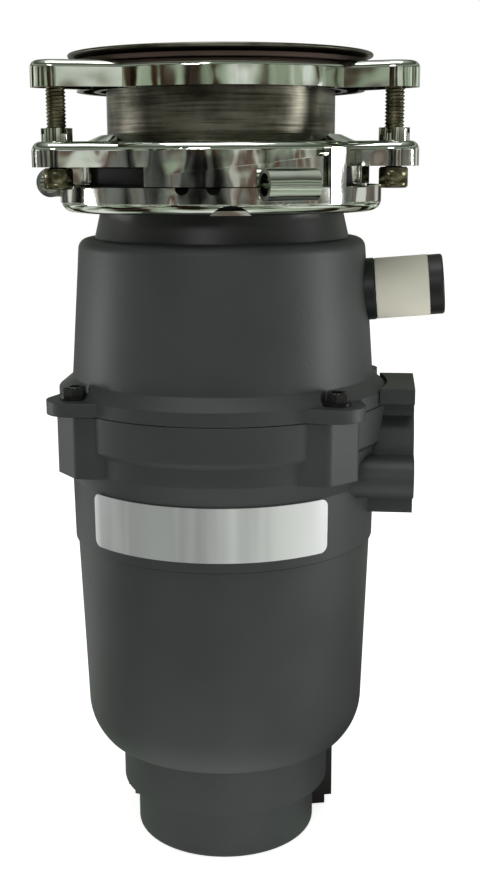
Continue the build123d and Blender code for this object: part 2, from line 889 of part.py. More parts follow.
# Chamber seal: a square-section ring squeezed in the flange joint
save(ring(seal_ring_radius - seal_ring_width / 2 + turning_gap,
          seal_ring_radius + seal_ring_width / 2 - turning_gap,
          drain_top - seal_ring_depth + turning_gap, hopper_z), "chamber_seal")

# Shaft seal: a cup with a lip, pressed into the top of the drain housing's hub
seal_bottom = hub_top - lip_seal_height
save(turned([
    (shaft_radius + turning_gap, seal_bottom),
    (lip_seal_radius, seal_bottom),
    (lip_seal_radius, hub_top),
    (lip_seal_radius - lip_seal_wall, hub_top),
    (lip_seal_radius - lip_seal_wall, seal_bottom + lip_seal_web),
    (shaft_radius + lip_seal_wall, seal_bottom + lip_seal_web),
    (shaft_radius + turning_gap, hub_top - free_gap),
]), "shaft_seal")

# Turntable: a grinding plate with a turned-down rim, a hub and drain holes
bore_radius = shaft_radius + press_gap
stud_radius = shaft_thread_radius + press_gap
plate_top = plate_z + plate_thickness
with BuildPart() as turntable:
    add(turned([
        (stud_radius, plate_z),
        (bore_radius, plate_z),
        (bore_radius, plate_z - plate_hub_height),
        (plate_hub_radius, plate_z - plate_hub_height),
        (plate_hub_radius, plate_z),
        (plate_radius - plate_thickness, plate_z),
        (plate_radius - plate_thickness, plate_z - plate_rim),
        (plate_radius, plate_z - plate_rim),
        (plate_radius, plate_top),
        (stud_radius, plate_top),
    ]))
    chamfer(turntable.edges().filter_by(GeomType.CIRCLE).group_by(Axis.Z)[-1].sort_by(
        SortBy.RADIUS)[-1], plate_thickness / 3)
    with BuildSketch(Plane.XY.offset(plate_z)):
        with PolarLocations((plate_radius + impeller_circle_radius) / 2, plate_hole_count,
                            start_angle=180 / plate_hole_count):
            Circle(plate_hole_radius)
        with Locations(*[azimuth_point(impeller_circle_radius, azimuth) for azimuth in pin_azimuths]):
            Circle(pin_radius + press_gap)
    extrude(amount=plate_thickness, mode=Mode.SUBTRACT)
save(turntable.part, "turntable")

# Turntable nut
with BuildPart() as turntable_nut:
    with BuildSketch(Plane.XY.offset(plate_top)):
        RegularPolygon(nut_flats / 2, 6, major_radius=False)
        Circle(stud_radius, mode=Mode.SUBTRACT)
    extrude(amount=nut_height)
save(turntable_nut.part, "turntable_nut")

# Impeller pins: headed rivets that stand in the turntable
impeller_z = plate_top + seat_gap
pin_top = impeller_z + impeller_thickness + seat_gap
with BuildPart() as impeller_pins:
    for azimuth in pin_azimuths:
        x, y = azimuth_point(impeller_circle_radius, azimuth)
        with Locations((x, y, plate_z)):
            Cylinder(pin_radius, pin_top - plate_z, align=(Align.CENTER, Align.CENTER, Align.MIN))
            Cylinder(pin_head_radius, pin_head_height, align=(Align.CENTER, Align.CENTER, Align.MAX))
        with Locations((x, y, pin_top)):
            Cylinder(pin_head_radius, pin_head_height, align=(Align.CENTER, Align.CENTER, Align.MIN))
save(impeller_pins.part, "impeller_pins")


def impeller(azimuth, name):
    """Swivel lug: a tapered arm that turns on its pin, with an upright striking end."""
    x, y = azimuth_point(impeller_circle_radius, azimuth)
    outward = (x / impeller_circle_radius, y / impeller_circle_radius, 0)
    arm_plane = Plane(origin=(x, y, impeller_z), x_dir=outward, z_dir=(0, 0, 1))
    with BuildPart() as lug:
        with BuildSketch(arm_plane):
            Circle(impeller_hub_radius)
            with Locations((impeller_long - impeller_tip_radius, 0)):
                Circle(impeller_tip_radius)
            make_hull()
        extrude(amount=impeller_thickness)
        with BuildSketch(arm_plane):
            with Locations((impeller_long - impeller_tip_radius, 0)):
                Circle(impeller_tip_radius)
        extrude(amount=impeller_lug_height)
        chamfer(lug.faces().sort_by(Axis.Z)[-1].edges(), impeller_tip_radius / 3)
        with BuildSketch(arm_plane):
            Circle(pin_radius + turning_gap)
        extrude(amount=impeller_thickness, mode=Mode.SUBTRACT)
    save(lug.part, name)


impeller(pin_azimuths[0], "impeller_1")
impeller(pin_azimuths[1], "impeller_2")

# Grind hopper: the moulded inner hopper with its flange and its neck with a clamping lip
liner_outer = chamber_radius + liner_wall
liner_flange_radius = seal_ring_radius + seal_ring_width
liner_flange_top = hopper_z + liner_flange
ring_seat_radius = chamber_radius + ring_seat_depth
ring_bottom = plate_z - tooth_height
ring_top = ring_bottom + ring_height
rib_shoulder_z = hopper_top - neck_rib_height + neck_base_radius - liner_outer
inlet_axis_z = hopper_z + inlet_height - hopper_top_radius * tan(radians(inlet_tilt))
inlet_direction = (cos(radians(inlet_tilt)), 0, sin(radians(inlet_tilt)))
inlet_plane = Plane(origin=(0, 0, inlet_axis_z), x_dir=(0, 1, 0), z_dir=inlet_direction)
with BuildPart() as grind_hopper:
    add(turned([
        (ring_seat_radius, hopper_z),
        (liner_flange_radius, hopper_z),
        (liner_flange_radius, liner_flange_top),
        (liner_outer, liner_flange_top),
        (liner_outer, hopper_top - neck_rib_height),
        (neck_base_radius, rib_shoulder_z),
        (neck_base_radius, hopper_top),
        (neck_top_radius, neck_top - lip_height - lip_reach),
        (neck_top_radius, neck_top - lip_height),
        (lip_radius, neck_top - lip_height),
        (lip_radius, neck_top),
        (throat_radius, neck_top),
        (chamber_radius, hopper_top),
        (chamber_radius, ring_top + seat_gap),
        (ring_seat_radius, ring_top + seat_gap),
    ]))
    with BuildSketch(inlet_plane.offset(chamber_radius / 2)):
        Circle(inlet_bore_radius)
    extrude(amount=chamber_radius, mode=Mode.SUBTRACT)
save(grind_hopper.part, "grind_hopper")

# Dishwasher inlet: a moulded tube with a collar behind the housing wall
with BuildPart() as dishwasher_inlet:
    with BuildSketch(inlet_plane.offset(chamber_radius)):
        Circle(inlet_radius)
    extrude(amount=inlet_reach - chamber_radius)
    fillet(dishwasher_inlet.faces().sort_by(Axis.X)[-1].edges(), inlet_round)
    with BuildSketch(inlet_plane.offset(chamber_radius)):
        Circle(inlet_root_radius)
    extrude(amount=inlet_root_end - chamber_radius)
    with BuildSketch(inlet_plane.offset(liner_outer + inlet_collar_gap)):
        Circle(inlet_root_radius + inlet_collar)
    extrude(amount=inlet_collar_width)
    with BuildSketch(inlet_plane):
        Circle(inlet_bore_radius)
    extrude(amount=inlet_reach, mode=Mode.SUBTRACT)
    add(turned([
        (0, hopper_z),
        (liner_outer + turning_gap, hopper_z),
        (liner_outer + turning_gap, hopper_top - neck_rib_height - turning_gap),
        (neck_base_radius + turning_gap, rib_shoulder_z - turning_gap),
        (neck_base_radius + turning_gap, hopper_top),
        (0, hopper_top),
    ]), mode=Mode.SUBTRACT)
save(dishwasher_inlet.part, "dishwasher_inlet")

# Knockout plug: a disc at the root of the inlet tube
with BuildPart() as knockout_plug:
    with BuildSketch(inlet_plane.offset(liner_outer + seat_gap)):
        Circle(inlet_bore_radius - turning_gap)
    extrude(amount=plug_thickness)
save(knockout_plug.part, "knockout_plug")

# Inlet label: a bare paper sleeve round the tube
with BuildPart() as inlet_label:
    with BuildSketch(inlet_plane.offset(label_start)):
        Circle(inlet_radius + label_thickness)
        Circle(inlet_radius + press_gap, mode=Mode.SUBTRACT)
    extrude(amount=label_length)
save(inlet_label.part, "inlet_label")

# Grind ring: a thick band with a slotted lower edge round the turntable
tooth_inner = plate_radius + ring_gap
tooth_outer = tooth_inner + ring_tooth_wall
with BuildPart() as grind_ring:
    add(turned([
        (tooth_inner, ring_bottom),
        (tooth_outer, ring_bottom),
        (tooth_outer, plate_z + ring_step),
        (ring_seat_radius - turning_gap, plate_z + 3 * ring_step),
        (ring_seat_radius - turning_gap, ring_top),
        (tooth_inner, ring_top),
    ]))
    with BuildSketch(Plane.XY.offset(ring_bottom)):
        with PolarLocations(tooth_inner + ring_tooth_wall / 2, tooth_count):
            Rectangle(2 * ring_tooth_wall, tooth_width)
    extrude(amount=tooth_height, mode=Mode.SUBTRACT)
save(grind_ring.part, "grind_ring")

# Hopper housing: the outer shell with its sloped flange and four screw ears
with BuildPart() as hopper_housing:
    add(turned([
        (0, hopper_z),
        (flange_radius, hopper_z),
        (flange_radius, hopper_z + flange_edge),
        (hopper_base_radius, hopper_z + flange_edge + flange_slope),
        (hopper_top_radius, hopper_top),
        (0, hopper_top),
    ]))
    fillet(hopper_housing.edges().filter_by(GeomType.CIRCLE).group_by(Axis.Z)[-1], hopper_round)
    for azimuth in ear_azimuths:
        with BuildSketch(Plane.XY.offset(hopper_z)):
            add(ear_sketch(azimuth, [
                (ear_circle_radius, 0, ear_radius),
                (ear_root_circle_radius, -ear_root_spread, ear_root_radius),
                (ear_root_circle_radius, ear_root_spread, ear_root_radius),
            ]))
        extrude(amount=flange_edge)
    with BuildSketch(Plane.XY.offset(hopper_z + flange_edge)):
        with Locations(*[azimuth_point(ear_circle_radius, azimuth) for azimuth in ear_azimuths]):
            Circle(flange_washer + seat_gap)
    extrude(amount=flange_slope, mode=Mode.SUBTRACT)
    with BuildSketch(Plane.XY.offset(hopper_z)):
        with Locations(*[azimuth_point(ear_circle_radius, azimuth) for azimuth in ear_azimuths]):
            Circle(flange_screw_radius + turning_gap)
    extrude(amount=flange_edge, mode=Mode.SUBTRACT)
    add(turned([
        (0, hopper_z),
        (liner_flange_radius + seat_gap, hopper_z),
        (liner_flange_radius + seat_gap, liner_flange_top + seat_gap),
        (hopper_base_radius - hopper_wall, liner_flange_top + seat_gap),
        (hopper_top_radius - hopper_wall, hopper_top - hopper_wall),
        (neck_base_radius + seat_gap, hopper_top - hopper_wall),
        (neck_base_radius + seat_gap, hopper_top),
        (0, hopper_top),
    ]), mode=Mode.SUBTRACT)
    with BuildSketch(inlet_plane.offset(chamber_radius)):
        Circle(inlet_root_radius + seat_gap)
    extrude(amount=inlet_reach, mode=Mode.SUBTRACT)
save(hopper_housing.part, "hopper_housing")

# Housing screws: four hex washer screws in the flange ears
screw_seat = hopper_z + flange_edge + turning_gap
with BuildPart() as housing_screws:
    with BuildSketch(Plane.XY.offset(screw_seat)):
        with Locations(*[azimuth_point(ear_circle_radius, azimuth) for azimuth in ear_azimuths]):
            Circle(flange_washer)
    extrude(amount=flange_washer_height)
    with BuildSketch(Plane.XY.offset(screw_seat)):
        with Locations(*[azimuth_point(ear_circle_radius, azimuth) for azimuth in ear_azimuths]):
            RegularPolygon(flange_screw_head, 6)
    extrude(amount=flange_screw_head_height)
    with BuildSketch(Plane.XY.offset(screw_seat)):
        with Locations(*[azimuth_point(ear_circle_radius, azimuth) for azimuth in ear_azimuths]):
            Circle(flange_screw_radius)
    extrude(amount=-flange_screw_length)
save(housing_screws.part, "housing_screws")

# Cushion mount: a rubber collar that wraps the neck's lip and seals on the sleeve
guard_radius = sleeve_radius - sleeve_wall - seat_gap
ledge_radius = guard_radius - ledge_reach
save(turned([
    (neck_top_radius + seat_gap, cushion_z),
    (cushion_radius, cushion_z),
    (cushion_radius, ledge_top),
    (collar_radius, ledge_top + cushion_shoulder),
    (collar_radius, ledge_top + collar_height),
    (sleeve_radius + seat_gap, ledge_top + collar_height),
    (sleeve_radius + seat_gap, ledge_top),
    (ledge_radius, ledge_top),
    (ledge_radius, neck_top + seat_gap),
    (lip_radius + seat_gap, neck_top + seat_gap),
    (lip_radius + seat_gap, cushion_z + cushion_skin),
    (neck_top_radius + seat_gap, cushion_z + cushion_skin),
]), "cushion_mount")

# Splash guard: a dished rubber baffle with radial slits, on the cushion's ledge
guard_bottom = ledge_top + seat_gap
guard_flap = guard_radius - guard_flex
with BuildPart() as splash_guard:
    add(turned([
        (guard_radius, guard_bottom),
        (guard_radius, guard_bottom + guard_rim_height),
        (guard_radius - guard_rim_width, guard_bottom + guard_rim_height),
        (guard_flap, guard_bottom + guard_thickness),
        (guard_hole_radius, guard_bottom - guard_dish + guard_thickness),
        (guard_hole_radius, guard_bottom - guard_dish),
        (guard_flap, guard_bottom),
    ]))
    with BuildSketch(Plane.XY.offset(guard_bottom - guard_dish)):
        with PolarLocations(guard_hole_radius - slit_width, guard_slits):
            Rectangle(slit_length, slit_width, align=(Align.MIN, Align.CENTER))
    extrude(amount=guard_dish + guard_rim_height, mode=Mode.SUBTRACT)
save(splash_guard.part, "splash_guard")

# Lock ring: a lipped chrome band with arches, scalloped top notches, three wrench tubes
# rolled from the sheet and three hooks that slide up the mounting ring's ramps
lock_inner = lock_radius - lock_sheet
lock_top = lock_z + lock_height
lock_lip = neck_top_radius + lock_seat
lock_corner = lock_round - lock_sheet
ramp_radius = mount_plate_radius + ramp_reach
lug_circle = ramp_radius + lock_slack + lug_radius
lug_axis_z = lock_z + lug_rise
hook_face = ramp_radius + lock_slack
hook_z = lock_z + hook_height
web_start = lock_radius - lock_sheet / 2
arch_root = lock_inner - lock_round
arch_centre = lock_z + arch_rise - arch_radius
with BuildPart() as lock_ring:
    add(turned([
        (lock_lip, lock_z),
        (lock_radius, lock_z),
        (lock_radius, lock_top),
        (lock_inner, lock_top),
        (lock_inner, lock_z + lock_sheet + lock_corner),
        (lock_inner - lock_corner, lock_z + lock_sheet),
        (lock_lip, lock_z + lock_sheet),
    ]))
    fillet(lock_ring.edges().filter_by(GeomType.CIRCLE).group_by(Axis.Z)[0].sort_by(
        SortBy.RADIUS)[-1], lock_round)
    for turn in (0, 120, 240):
        for azimuth in notch_azimuths:
            with BuildSketch(outward_plane(mount_turn + azimuth + turn, lock_inner - lock_sheet, lock_top)):
                Circle(notch_radius)
            extrude(amount=3 * lock_sheet, mode=Mode.SUBTRACT)
        with BuildSketch(outward_plane(mount_turn + arch_azimuth + turn, arch_root, arch_centre)):
            Circle(arch_radius)
        extrude(amount=2 * (lock_radius - arch_root), mode=Mode.SUBTRACT)
        azimuth = mount_turn + lug_azimuth + turn
        x, y = azimuth_point(lug_circle, azimuth)
        along = azimuth_point(1, azimuth + 90)
        tube_plane = Plane(origin=(x, y, lug_axis_z), x_dir=(0, 0, 1), z_dir=(*along, 0))
        with BuildSketch(tube_plane.offset(-lug_length / 2)):
            Circle(lug_radius)
        extrude(amount=lug_length)
        with BuildSketch(outward_plane(azimuth, web_start, lock_top - web_height / 2)):
            Rectangle(lug_length - 2 * lock_sheet, web_height)
        extrude(amount=lug_circle - web_start)
        with BuildSketch(tube_plane.offset(-lug_length)):
            Circle(lug_bore)
        extrude(amount=2 * lug_length, mode=Mode.SUBTRACT)
        add(sector(mount_turn + hook_azimuth - hook_span / 2 + turn, hook_span, [
            (hook_face, lock_top - hook_foot),
            (hook_face + hook_sheet, lock_top - hook_foot),
            (hook_face + hook_sheet, hook_z + hook_sheet),
            (mount_plate_radius + free_gap, hook_z + hook_sheet),
            (mount_plate_radius + free_gap, hook_z),
            (hook_face, hook_z),
        ]))
save(lock_ring.part, "lock_ring")


def ramp_plane(azimuth, height):
    """Plane at a height on the axis that climbs with azimuth, steepest at the given azimuth."""
    turn = radians(azimuth)
    slope = radians(ramp_slope)
    return Plane(
        origin=(0, 0, height),
        z_dir=(-sin(slope) * cos(turn), -sin(slope) * sin(turn), cos(slope)),
    )


def ramp_wedge(turn):
    """Wedge on the skirt with a flat foot and a top that climbs to the ramp's stop."""
    with BuildPart() as wedge:
        add(sector(mount_turn + ramp_start + turn, ramp_end - ramp_start, [
            (mount_plate_radius - skirt_wall / 2, skirt_z),
            (ramp_radius, skirt_z),
            (ramp_radius, mount_top - mount_round),
            (mount_plate_radius - skirt_wall / 2, mount_top - mount_round),
        ]))
        split(bisect_by=ramp_plane(mount_turn + ramp_middle + turn, ramp_z), keep=Keep.BOTTOM)
    return wedge.part


# Mounting ring: a cast plate with three screw ears, a hub round the sleeve, and a skirt
# whose lower edge carries three slide-up ramps
skirt_inner = mount_plate_radius - skirt_wall
mount_arm_circle = mount_plate_radius - mount_arm_radius
mount_height = 2 * mount_ear_height
ramp_z = mount_top - ramp_drop
skirt_z = lock_top + seat_gap
with BuildPart() as mounting_ring:
    with BuildSketch(Plane.XY.offset(mount_ear_z)):
        Circle(mount_plate_radius)
        for azimuth in screw_azimuths:
            add(ear_sketch(azimuth, [
                (screw_circle_radius, 0, mount_ear_radius),
                (mount_arm_circle, -mount_arm_lead, mount_arm_radius),
                (mount_arm_circle, mount_arm_trail, mount_arm_radius),
            ]))
        Circle(mount_bore, mode=Mode.SUBTRACT)
    extrude(amount=mount_ear_height)
    fillet(mounting_ring.faces().sort_by(Axis.Z)[-1].outer_wire().edges(), mount_round)
    with BuildSketch(Plane.XY.offset(mount_ear_z)):
        Circle(skirt_inner)
    extrude(amount=mount_ear_height - mount_plate, mode=Mode.SUBTRACT)
    add(turned([
        (mount_bore, mount_hub_z),
        (mount_bore + mount_hub_wall, mount_hub_z),
        (mount_bore + mount_hub_wall, mount_top - mount_plate / 2),
        (mount_bore + mount_cone_reach, mount_top - mount_plate / 2),
        (mount_bore + mount_cone_reach, mount_top),
        (mount_bore + mount_cone_top, mount_top + mount_lip),
        (mount_bore, mount_top + mount_lip),
    ]))
    for turn in (0, 120, 240):
        add(sector(mount_turn + skirt_start + turn, ramp_end - skirt_start, [
            (skirt_inner, skirt_z),
            (mount_plate_radius, skirt_z),
            (mount_plate_radius, mount_ear_z),
            (skirt_inner, mount_ear_z),
        ]))
        add(ramp_wedge(turn))
    with BuildSketch(Plane.XY.offset(mount_top)):
        with Locations(*[azimuth_point(screw_circle_radius, azimuth) for azimuth in screw_azimuths]):
            Circle(screw_radius + screw_boss_wall)
    extrude(amount=screw_boss_height)
    with BuildSketch(Plane.XY.offset(mount_top + screw_boss_height)):
        for azimuth in screw_azimuths:
            x, y = azimuth_point(screw_circle_radius, azimuth)
            with Locations(Location((x, y, 0), (0, 0, azimuth))):
                Rectangle(4 * screw_radius, boss_notch_width)
                Rectangle(boss_notch_width, 4 * screw_radius)
    extrude(amount=-boss_notch_depth, mode=Mode.SUBTRACT)
    with BuildSketch(Plane.XY.offset(mount_ear_z)):
        with Locations(*[azimuth_point(screw_circle_radius, azimuth) for azimuth in screw_azimuths]):
            Circle(screw_radius + turning_gap)
    extrude(amount=mount_height, mode=Mode.SUBTRACT)
save(mounting_ring.part, "mounting_ring")

# Snap ring: a split wire ring in the sleeve's groove, under the mounting ring's hub
with BuildPart() as snap_ring:
    with BuildSketch(section_plane(180)):
        with Locations((sleeve_radius - snap_groove + snap_wire_radius + turning_gap, snap_z)):
            Circle(snap_wire_radius)
    revolve(axis=Axis.Z, revolution_arc=snap_wire_arc)
save(snap_ring.part, "snap_ring")

# Sink flange: a pressed sleeve that opens into a shallow rim, with a groove for the snap ring
groove_half = snap_wire_radius + turning_gap
sleeve_inner = sleeve_radius - sleeve_wall
rim_z = sleeve_top + sink_flange_rise
rim_top = rim_z + sink_flange_rim
rim_start = sink_flange_radius - sink_flange_rim / 2
sink_shoulder_radius = sleeve_radius + sink_shoulder_reach
sink_shoulder_z = sleeve_top + sink_shoulder_rise
with BuildPart() as sink_flange:
    with BuildSketch(section_plane(0)):
        with BuildLine():
            Polyline(
                (sleeve_inner, sleeve_z),
                (sleeve_radius, sleeve_z),
                (sleeve_radius, snap_z - groove_half),
                (sleeve_radius - snap_groove, snap_z - groove_half),
                (sleeve_radius - snap_groove, snap_z + groove_half),
                (sleeve_radius, snap_z + groove_half),
                (sleeve_radius, sleeve_top),
                (sink_shoulder_radius, sink_shoulder_z),
                (rim_start, rim_z),
            )
            ThreePointArc(
                (rim_start, rim_z),
                (sink_flange_radius, rim_z + sink_flange_rim / 2),
                (rim_start, rim_top),
            )
            Polyline(
                (rim_start, rim_top),
                (sink_shoulder_radius, sink_shoulder_z + sleeve_wall),
                (sleeve_inner, sleeve_top + sleeve_wall),
                (sleeve_inner, sleeve_z),
            )
        make_face()
    revolve(axis=Axis.Z)
save(sink_flange.part, "sink_flange")

# Backup ring: a pressed ring with three ears and a turned-down edge, pushed up by the screws
backup_arm_circle = backup_radius - mount_arm_radius


def backup_outline(inset):
    """Outline of the backup ring, drawn in by an inset."""
    with BuildSketch() as outline:
        Circle(backup_radius - inset)
        for azimuth in screw_azimuths:
            add(ear_sketch(azimuth, [
                (screw_circle_radius, 0, backup_ear_radius - inset),
                (backup_arm_circle, -mount_arm_lead, mount_arm_radius - inset),
                (backup_arm_circle, mount_arm_trail, mount_arm_radius - inset),
            ]))
    return outline.sketch


with BuildPart() as backup_ring:
    with BuildSketch(Plane.XY.offset(backup_z)):
        add(backup_outline(0))
    extrude(amount=backup_height)
    fillet(backup_ring.faces().sort_by(Axis.Z)[-1].outer_wire().edges(), backup_round)
    with BuildSketch(Plane.XY.offset(backup_z)):
        add(backup_outline(backup_wall))
        Circle(backup_bore + backup_wall, mode=Mode.SUBTRACT)
    extrude(amount=backup_height - backup_plate, mode=Mode.SUBTRACT)
    with BuildSketch(Plane.XY.offset(backup_z)):
        Circle(backup_bore)
    extrude(amount=backup_height, mode=Mode.SUBTRACT)
save(backup_ring.part, "backup_ring")

# Fibre gasket on the backup ring
save(ring(gasket_inner, gasket_outer, backup_top + seat_gap, backup_top + seat_gap + gasket_thickness),
     "fibre_gasket")


def mounting_screw(azimuth, name):
    """Slotted screw that stands in a mounting ear and bears under the backup ring."""
    x, y = azimuth_point(screw_circle_radius, azimuth)
    head_top = mount_ear_z - seat_gap
    with BuildPart() as bolt:
        with Locations((x, y, head_top)):
            Cylinder(screw_head_radius, screw_head_height, align=(Align.CENTER, Align.CENTER, Align.MAX))
            Cylinder(screw_radius, backup_top - backup_plate - seat_gap - head_top,
                     align=(Align.CENTER, Align.CENTER, Align.MIN))
        with Locations(Location((x, y, head_top - screw_head_height), (0, 0, azimuth))):
            Box(3 * screw_head_radius, slot_width, slot_depth,
                align=(Align.CENTER, Align.CENTER, Align.MIN), mode=Mode.SUBTRACT)
    save(bolt.part, name)


for number, azimuth in enumerate(screw_azimuths, start=1):
    mounting_screw(azimuth, f"mounting_screw_{number}")
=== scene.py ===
import math

import bpy
import numpy as np
from mathutils import Matrix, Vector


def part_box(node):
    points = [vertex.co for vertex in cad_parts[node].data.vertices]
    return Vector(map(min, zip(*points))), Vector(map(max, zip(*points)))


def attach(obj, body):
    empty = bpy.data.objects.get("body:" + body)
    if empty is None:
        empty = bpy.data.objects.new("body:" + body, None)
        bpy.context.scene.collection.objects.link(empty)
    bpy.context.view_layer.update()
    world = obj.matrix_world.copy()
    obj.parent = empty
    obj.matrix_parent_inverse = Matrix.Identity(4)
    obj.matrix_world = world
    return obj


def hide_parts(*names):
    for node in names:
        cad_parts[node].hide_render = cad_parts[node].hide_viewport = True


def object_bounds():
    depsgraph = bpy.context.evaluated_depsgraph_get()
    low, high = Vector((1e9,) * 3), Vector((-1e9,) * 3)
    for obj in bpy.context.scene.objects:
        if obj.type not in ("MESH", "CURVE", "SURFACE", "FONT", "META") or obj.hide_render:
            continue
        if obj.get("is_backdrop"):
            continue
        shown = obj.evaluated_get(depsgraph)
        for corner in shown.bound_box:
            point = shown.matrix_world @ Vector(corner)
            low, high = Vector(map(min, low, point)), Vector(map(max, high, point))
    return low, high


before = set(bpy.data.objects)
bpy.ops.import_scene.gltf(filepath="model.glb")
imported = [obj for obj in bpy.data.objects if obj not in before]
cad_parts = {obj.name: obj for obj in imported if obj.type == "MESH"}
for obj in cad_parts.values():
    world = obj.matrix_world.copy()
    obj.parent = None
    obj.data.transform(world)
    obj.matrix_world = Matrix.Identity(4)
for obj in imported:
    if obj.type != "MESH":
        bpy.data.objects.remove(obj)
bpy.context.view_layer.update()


# The view: a camera a little above the hopper, seven degrees round from the nameplate's middle,
# as far off as the ellipses of the round edges say. The image is 480 by 889 pixels.
camera_azimuth = 7.0
camera_distance = 0.493
camera_height = 0.2726
camera_pitch = 12.7
camera_yaw = 0.77
camera_roll = 0.25
focal_pixels = 1262.0
image_height = 889
nearest_seen = 0.01
farthest_seen = 20.0

turn = math.radians(camera_azimuth)
lens = bpy.data.cameras.new("view_lens")
lens.lens = focal_pixels / image_height * lens.sensor_width
lens.clip_start = nearest_seen
lens.clip_end = farthest_seen
camera = bpy.data.objects.new("view_camera", lens)
stand = (camera_distance * math.sin(turn), -camera_distance * math.cos(turn), camera_height)
camera.matrix_world = (
    Matrix.Translation(stand)
    @ Matrix.Rotation(math.radians(camera_azimuth - camera_yaw), 4, "Z")
    @ Matrix.Rotation(math.radians(90 - camera_pitch), 4, "X")
    @ Matrix.Rotation(math.radians(-camera_roll), 4, "Z")
)
bpy.context.scene.collection.objects.link(camera)
bpy.context.scene.camera = camera


# The studio: a white sheet of floor, tall narrow lamps at both sides that edge the housing with
# light, and a room of light and dark bands that the chrome mirrors. The camera sees plain white.
floor_size = 6.0
floor_white = "FFFFFF"
floor_roughness = 0.9
floor_glow = 0.78
floor_patch = 0.32
floor_patch_detail = 1.5
floor_mirror_glow = 0.9
floor_mirrored = [(0.41, "16140F"), (0.46, "4C3A30"), (0.49, "8F9A88"), (0.56, "B4C0AC"), (0.63, "FFFFFF")]
wall_shades = [(0.38, "12110D"), (0.43, "4A3629"), (0.46, "8E9B86"), (0.55, "B2BDAA"), (0.64, "FFFFFF")]
table_shades = [(0.38, "0B0B0A"), (0.45, "4B4C49"), (0.51, "787B77"), (0.56, "5E4335"), (0.62, "E4E6E2")]
ceiling_shades = [(0.15, "1B1C1A"), (0.40, "A8B0A2"), (0.5, "3A3C36"), (0.72, "6E7468"), (1.0, "D0D4CC")]
table_edge = (0.0, 0.05)
wall_cornice = (0.15, 0.2)
room_patch = 2.6
room_patch_detail = 3.0
lit_height = 0.18
# Each lamp's name, place, width and height, and power
lamps = [
    ("left_lamp", (-1.2, 0.15, 0.06), (0.16, 0.35), 3.4),
    ("right_lamp", (1.2, 0.0, 0.12), (0.16, 0.35), 5.0),
    ("top_lamp", (0.0, -0.3, 1.3), (1.0, 0.5), 4.5),
    ("front_lamp", (-0.25, -1.5, 0.9), (0.5, 0.3), 3.0),
]


def linear(colour):
    """Linear red, green, blue and alpha of an sRGB hex colour."""
    s = np.array([int(colour[i:i + 2], 16) / 255 for i in (0, 2, 4)])
    return (*np.where(s <= 0.04045, s / 12.92, ((s + 0.055) / 1.055) ** 2.4).tolist(), 1.0)


def add_node(tree, kind, links=(), **settings):
    """Add a node, set its properties or sockets, and link (from socket, to socket name) pairs to it."""
    node = tree.nodes.new(kind)
    for key, value in settings.items():
        if hasattr(node, key):
            setattr(node, key, value)
        else:
            node.inputs[key.replace("_", " ")].default_value = value
    for source, socket in links:
        tree.links.new(source, node.inputs[socket])
    return node


def set_ramp(node, stops):
    """Set a colour ramp's stops from (position, sRGB hex colour) pairs."""
    elements = node.color_ramp.elements
    while len(elements) < len(stops):
        elements.new(1.0)
    for element, (position, colour) in zip(elements, stops):
        element.position = position
        element.color = linear(colour)


def finish(name, colour, roughness, metallic=0.0):
    """A new material with its node tree and its shader, set to a colour, roughness and metallic."""
    material = bpy.data.materials.new(name)
    material.use_nodes = True
    shader = material.node_tree.nodes["Principled BSDF"]
    shader.inputs["Base Color"].default_value = linear(colour)
    shader.inputs["Roughness"].default_value = roughness
    shader.inputs["Metallic"].default_value = metallic
    return material, material.node_tree, shader


def surface(name, points, faces, smooth=True):
    """A mesh object from points and faces."""
    mesh = bpy.data.meshes.new(name)
    mesh.from_pydata(np.asarray(points).tolist(), [], faces)
    if smooth:
        mesh.shade_smooth()
    else:
        mesh.shade_flat()
    piece = bpy.data.objects.new(name, mesh)
    bpy.context.scene.collection.objects.link(piece)
    return piece


corner = floor_size / 2
floor = surface("studio_floor", [[-corner, -corner, 0], [corner, -corner, 0], [corner, corner, 0],
                                 [-corner, corner, 0]], [[0, 1, 2, 3]])
floor_material, tree, shader = finish("matte_white_sheet", floor_white, floor_roughness)
shader.inputs["Emission Color"].default_value = linear(floor_white)
shader.inputs["Emission Strength"].default_value = floor_glow
place = add_node(tree, "ShaderNodeTexCoord")
patches = add_node(tree, "ShaderNodeTexNoise", [(place.outputs["Object"], "Vector")],
                   Scale=1 / floor_patch, Detail=floor_patch_detail)
shades = add_node(tree, "ShaderNodeValToRGB", [(patches.outputs["Fac"], "Fac")])
set_ramp(shades, floor_mirrored)
mirrored = add_node(tree, "ShaderNodeEmission", [(shades.outputs["Color"], "Color")],
                    Strength=floor_mirror_glow)
path = add_node(tree, "ShaderNodeLightPath")
choice = add_node(tree, "ShaderNodeMixShader", [(path.outputs["Is Glossy Ray"], 0),
                                                (shader.outputs["BSDF"], 1),
                                                (mirrored.outputs["Emission"], 2)])
tree.links.new(choice.outputs["Shader"], tree.nodes["Material Output"].inputs["Surface"])
floor.data.materials.append(floor_material)
floor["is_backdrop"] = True

aim = np.array([0.0, 0.0, lit_height])
for name, spot, size, power in lamps:
    light = bpy.data.lights.new(name, "AREA")
    light.shape = "RECTANGLE"
    light.size, light.size_y = size
    light.energy = power
    lamp = bpy.data.objects.new(name, light)
    back = np.array(spot) - aim
    back = back / np.linalg.norm(back)
    right = np.cross((0.0, 0.0, 1.0), back)
    right = right / np.linalg.norm(right)
    over = np.cross(back, right)
    lamp.matrix_world = Matrix([
        (right[0], over[0], back[0], spot[0]),
        (right[1], over[1], back[1], spot[1]),
        (right[2], over[2], back[2], spot[2]),
        (0, 0, 0, 1),
    ])
    bpy.context.scene.collection.objects.link(lamp)

